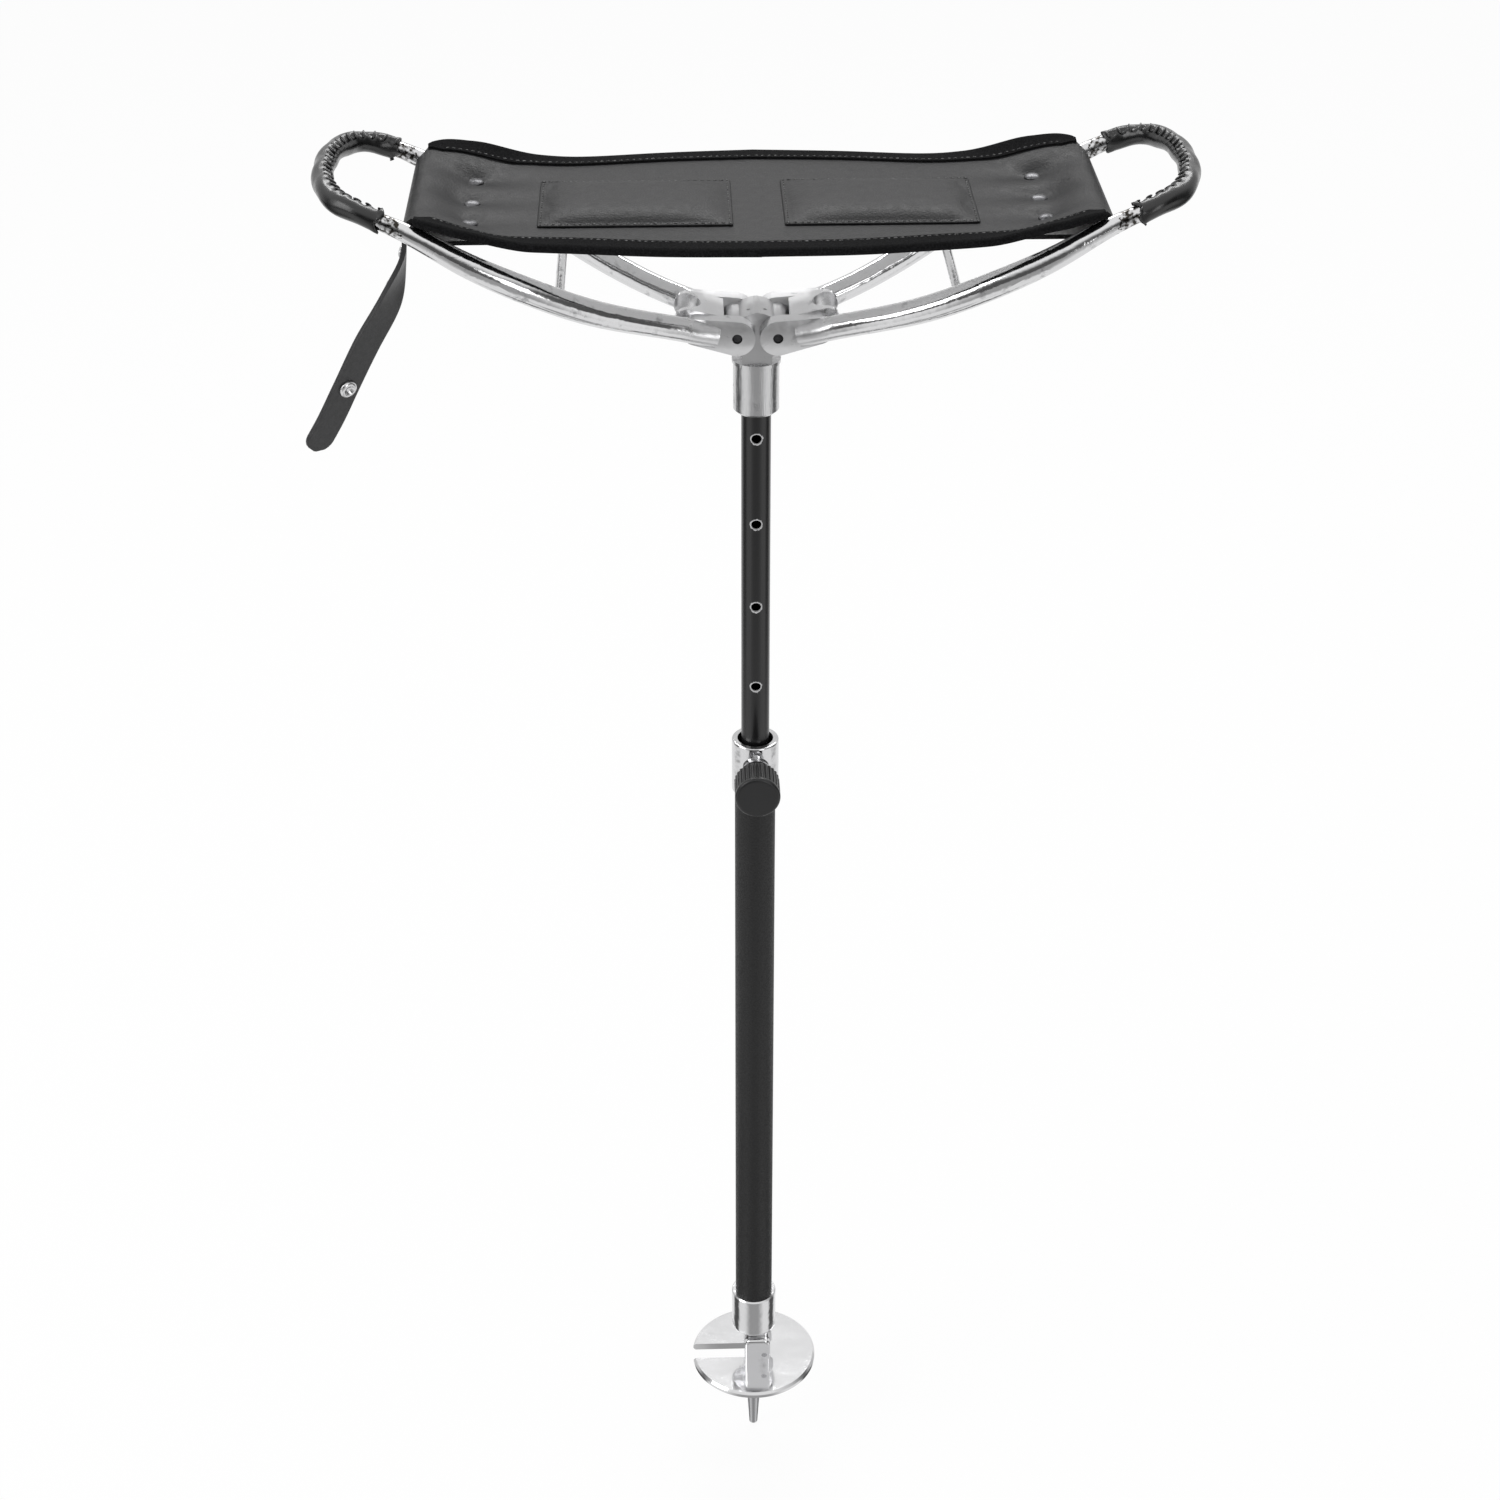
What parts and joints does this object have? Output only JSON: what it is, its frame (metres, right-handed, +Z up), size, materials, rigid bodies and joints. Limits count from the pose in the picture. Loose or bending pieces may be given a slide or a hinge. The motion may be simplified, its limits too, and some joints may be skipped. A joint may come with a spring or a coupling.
{
  "type": "walking stick seat",
  "caption": "Walking stick that opens into a seat: two folding arms carry a riveted sling over a height-set tube stick with a folding ground plate and spike.",
  "frame": {"origin": "on the stick's axis at the underside of the ground plate, where the spike leaves it", "axes": "+Z up the stick, +X to the right arm as seen from the clamp knob's side, so the knob points along -Y"},
  "size_m": [0.4564, 0.1442, 0.8907],
  "materials": {
    "polished_casting": "polished",
    "black_tube_paint": "satin",
    "black_textured_coat": "fine textured",
    "spike_steel": "turned",
    "pin_steel": "plain",
    "rivet_steel": "darkened",
    "knob_plastic": "satin, ribbed",
    "slide_plastic": "plain",
    "sling_leather": "fine grain, satin",
    "binding_felt": "matt",
    "grip_leather": "smooth, worn",
    "lace_cord": "matt",
    "strap_leather": "smooth",
    "snap_metal": "polished"
  },
  "bodies": {
    "lower_stick": {"foot_casting": "polished_casting", "ground_spike": "spike_steel", "lower_tube": "black_textured_coat", "clamp_collar": "polished_casting", "collar_bush": "slide_plastic"},
    "plate": {"ground_plate": "polished_casting", "plate_hinge_pin": "pin_steel"},
    "washer": {"clamp_washer": "pin_steel"},
    "screw": {"clamp_screw": "pin_steel", "clamp_knob": "knob_plastic"},
    "ring": {"guide_ring": "slide_plastic"},
    "upper_stick": {"upper_tube": "black_tube_paint", "tube_end_plug": "slide_plastic", "hub": "polished_casting", "hub_cross_pin": "pin_steel", "left_hinge_pin": "pin_steel", "right_hinge_pin": "pin_steel", "seat_sling": "sling_leather", "front_binding": "binding_felt", "rear_binding": "binding_felt", "left_pad": "sling_leather", "right_pad": "sling_leather"},
    "left_side": {"left_arm": "polished_casting", "left_sling_bar": "pin_steel", "left_grip_cover": "grip_leather", "left_grip_lacing": "lace_cord", "left_sling_rivets": "rivet_steel"},
    "right_side": {"right_arm": "polished_casting", "right_sling_bar": "pin_steel", "right_grip_cover": "grip_leather", "right_grip_lacing": "lace_cord", "right_sling_rivets": "rivet_steel"},
    "strap": {"retaining_strap": "strap_leather", "snap_cap": "snap_metal", "snap_socket": "snap_metal", "snap_stud": "snap_metal", "strap_rivet": "snap_metal"}
  },
  "joints": [
    {"name": "plate_fold", "type": "hinge", "parent": "lower_stick", "child": "plate", "pos_m": [0.0065, 0, 0.0146], "axis": [0, -1, 0], "range_deg": [0, 90]},
    {"name": "screw_travel", "type": "slide", "parent": "lower_stick", "child": "washer", "axis": [0, -1, 0], "range_m": [0, 0.00375]},
    {"name": "screw_turn", "type": "hinge", "parent": "washer", "child": "screw", "pos_m": [0, -0.02, 0.47], "axis": [0, -1, 0], "range_deg": [0, 1080]},
    {"name": "height_slide", "type": "slide", "parent": "lower_stick", "child": "ring", "axis": [0, 0, 1], "range_m": [-0.204, 0]},
    {"name": "seat_swivel", "type": "hinge", "parent": "ring", "child": "upper_stick", "pos_m": [0, 0, 0.408], "axis": [0, 0, 1], "continuous": true},
    {"name": "left_arm_fold", "type": "hinge", "parent": "upper_stick", "child": "left_side", "pos_m": [-0.0106, 0, 0.737], "axis": [0, 1, 0], "range_deg": [0, 62], "deforming": ["seat_sling", "front_binding", "rear_binding", "left_pad"]},
    {"name": "right_arm_fold", "type": "hinge", "parent": "upper_stick", "child": "right_side", "pos_m": [0.0106, 0, 0.737], "axis": [0, -1, 0], "range_deg": [0, 62], "deforming": ["seat_sling", "front_binding", "rear_binding", "right_pad"]},
    {"name": "strap_swing", "type": "hinge", "parent": "left_side", "child": "strap", "pos_m": [-0.17, -0.0395, 0.807], "axis": [0, 1, 0], "range_deg": [-20, 50]}
  ],
  "couplings": [
    {"joint": "screw_travel", "follows": "screw_turn", "m_per_rad": 0.00019894}
  ]
}
